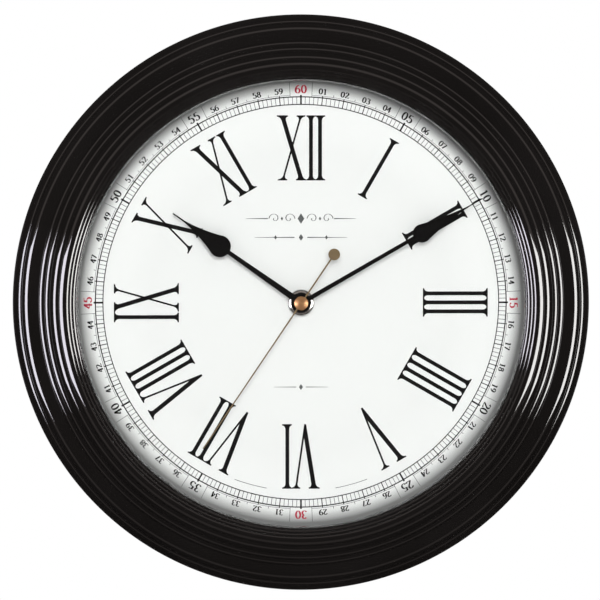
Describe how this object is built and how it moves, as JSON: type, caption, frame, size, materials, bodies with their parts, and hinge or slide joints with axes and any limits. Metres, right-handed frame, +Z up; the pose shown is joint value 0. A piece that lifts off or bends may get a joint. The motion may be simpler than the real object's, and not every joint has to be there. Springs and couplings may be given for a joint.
{
  "type": "wall clock",
  "caption": "Round wall clock with a stepped glossy frame, white roman dial, drop hands and a battery quartz movement; hangs from a keyhole plate.",
  "frame": {"origin": "centre of the rear rim on the hand shaft's axis, in the plane of the wall", "axes": "+Z up, towards twelve; +X to three, the right seen from the front; the dial looks along -Y and the wall is at +Y"},
  "size_m": [0.305, 0.0467, 0.305],
  "materials": {
    "frame_gloss": "high gloss, very dark brown-black",
    "gasket_rubber": "matt",
    "lens_glass": "clear, polished",
    "spacer_black": "satin black",
    "dial_white": "white lacquered sheet, printed",
    "back_plastic": "fine moulded texture",
    "screw_steel": "zinc plated",
    "hanger_steel": "zinc plated, stamped",
    "movement_plastic": "moulded, satin",
    "wheel_plastic": "natural acetal",
    "bush_brass": "turned",
    "nut_gunmetal": "polished gunmetal plating",
    "stator_steel": "stamped laminations",
    "bobbin_plastic": "moulded",
    "copper_wire": "enamelled copper wire, wound",
    "board_laminate": "green solder mask",
    "crystal_can": "drawn can",
    "chip_epoxy": "cast blob",
    "contact_nickel": "nickel plated spring strip",
    "battery_jacket": "printed sleeve, plain bands",
    "magnet_grey": "sintered magnet",
    "knob_plastic": "moulded, knurled",
    "hand_black": "black lacquered, satin",
    "second_bronze": "satin bronze",
    "cap_copper": "polished copper",
    "ink_black": "printed ink",
    "ink_grey": "printed ink",
    "ink_red": "printed ink"
  },
  "bodies": {
    "root": {"case_frame": "frame_gloss", "lens_gasket": "gasket_rubber", "lens_glass": "lens_glass", "spacer_ring": "spacer_black", "dial": "dial_white", "back_plate": "back_plastic", "back_screws": "screw_steel", "hanger_plate": "hanger_steel", "hanger_screws": "screw_steel", "movement_case": "movement_plastic", "movement_cover": "movement_plastic", "train_bridge": "wheel_plastic", "centre_bush": "bush_brass", "rubber_washer": "gasket_rubber", "nut_washer": "bush_brass", "hand_nut": "nut_gunmetal", "stator": "stator_steel", "coil_bobbin": "bobbin_plastic", "coil_winding": "copper_wire", "circuit_board": "board_laminate", "quartz_crystal": "crystal_can", "chip_cap": "chip_epoxy", "contact_positive": "contact_nickel", "contact_negative": "contact_nickel"},
    "second": {"second_wheel": "wheel_plastic", "second_hand": "second_bronze", "second_cap": "cap_copper"},
    "step": {"step_wheel": "wheel_plastic"},
    "rotor": {"rotor_pinion": "wheel_plastic", "rotor_magnet": "magnet_grey"},
    "third": {"third_wheel": "wheel_plastic"},
    "centre": {"centre_wheel": "wheel_plastic"},
    "minute": {"minute_pipe": "bush_brass", "minute_hand": "hand_black", "minute_collar": "hand_black"},
    "motion": {"motion_wheel": "wheel_plastic"},
    "hour": {"hour_wheel": "wheel_plastic", "hour_hand": "hand_black", "hour_collar": "hand_black"},
    "setting": {"setting_knob": "knob_plastic"},
    "battery": {"battery": "battery_jacket"}
  },
  "joints": [
    {"name": "second_spin", "type": "hinge", "parent": "root", "child": "second", "pos_m": [0, -0.012, 0], "axis": [0, 1, 0], "continuous": true},
    {"name": "step_spin", "type": "hinge", "parent": "root", "child": "step", "pos_m": [0.0049, -0.012, 0.00849], "axis": [0, 1, 0], "continuous": true},
    {"name": "rotor_spin", "type": "hinge", "parent": "root", "child": "rotor", "pos_m": [0.01229, -0.012, 0.00719], "axis": [0, 1, 0], "continuous": true},
    {"name": "third_spin", "type": "hinge", "parent": "root", "child": "third", "pos_m": [-0.00927, -0.012, 0.00337], "axis": [0, 1, 0], "continuous": true},
    {"name": "centre_spin", "type": "hinge", "parent": "root", "child": "centre", "pos_m": [0, -0.0149, 0], "axis": [0, 1, 0], "continuous": true},
    {"name": "minute_spin", "type": "hinge", "parent": "root", "child": "minute", "pos_m": [0, -0.017, 0], "axis": [0, 1, 0], "continuous": true},
    {"name": "motion_spin", "type": "hinge", "parent": "root", "child": "motion", "pos_m": [0, -0.017, -0.008], "axis": [0, 1, 0], "continuous": true},
    {"name": "hour_spin", "type": "hinge", "parent": "root", "child": "hour", "pos_m": [0, -0.0188, 0], "axis": [0, 1, 0], "continuous": true},
    {"name": "setting_spin", "type": "hinge", "parent": "root", "child": "setting", "pos_m": [0.00811, -0.017, -0.01017], "axis": [0, 1, 0], "continuous": true},
    {"name": "battery_slide", "type": "slide", "parent": "root", "child": "battery", "axis": [0, 1, 0], "range_m": [0, 0.03]}
  ],
  "couplings": [
    {"joint": "step_spin", "follows": "second_spin", "ratio": -6},
    {"joint": "rotor_spin", "follows": "second_spin", "ratio": 30},
    {"joint": "third_spin", "follows": "second_spin", "ratio": -0.13333},
    {"joint": "centre_spin", "follows": "second_spin", "ratio": 0.016667},
    {"joint": "motion_spin", "follows": "minute_spin", "ratio": -0.33333},
    {"joint": "hour_spin", "follows": "minute_spin", "ratio": 0.083333},
    {"joint": "setting_spin", "follows": "minute_spin", "ratio": 0.83333}
  ]
}
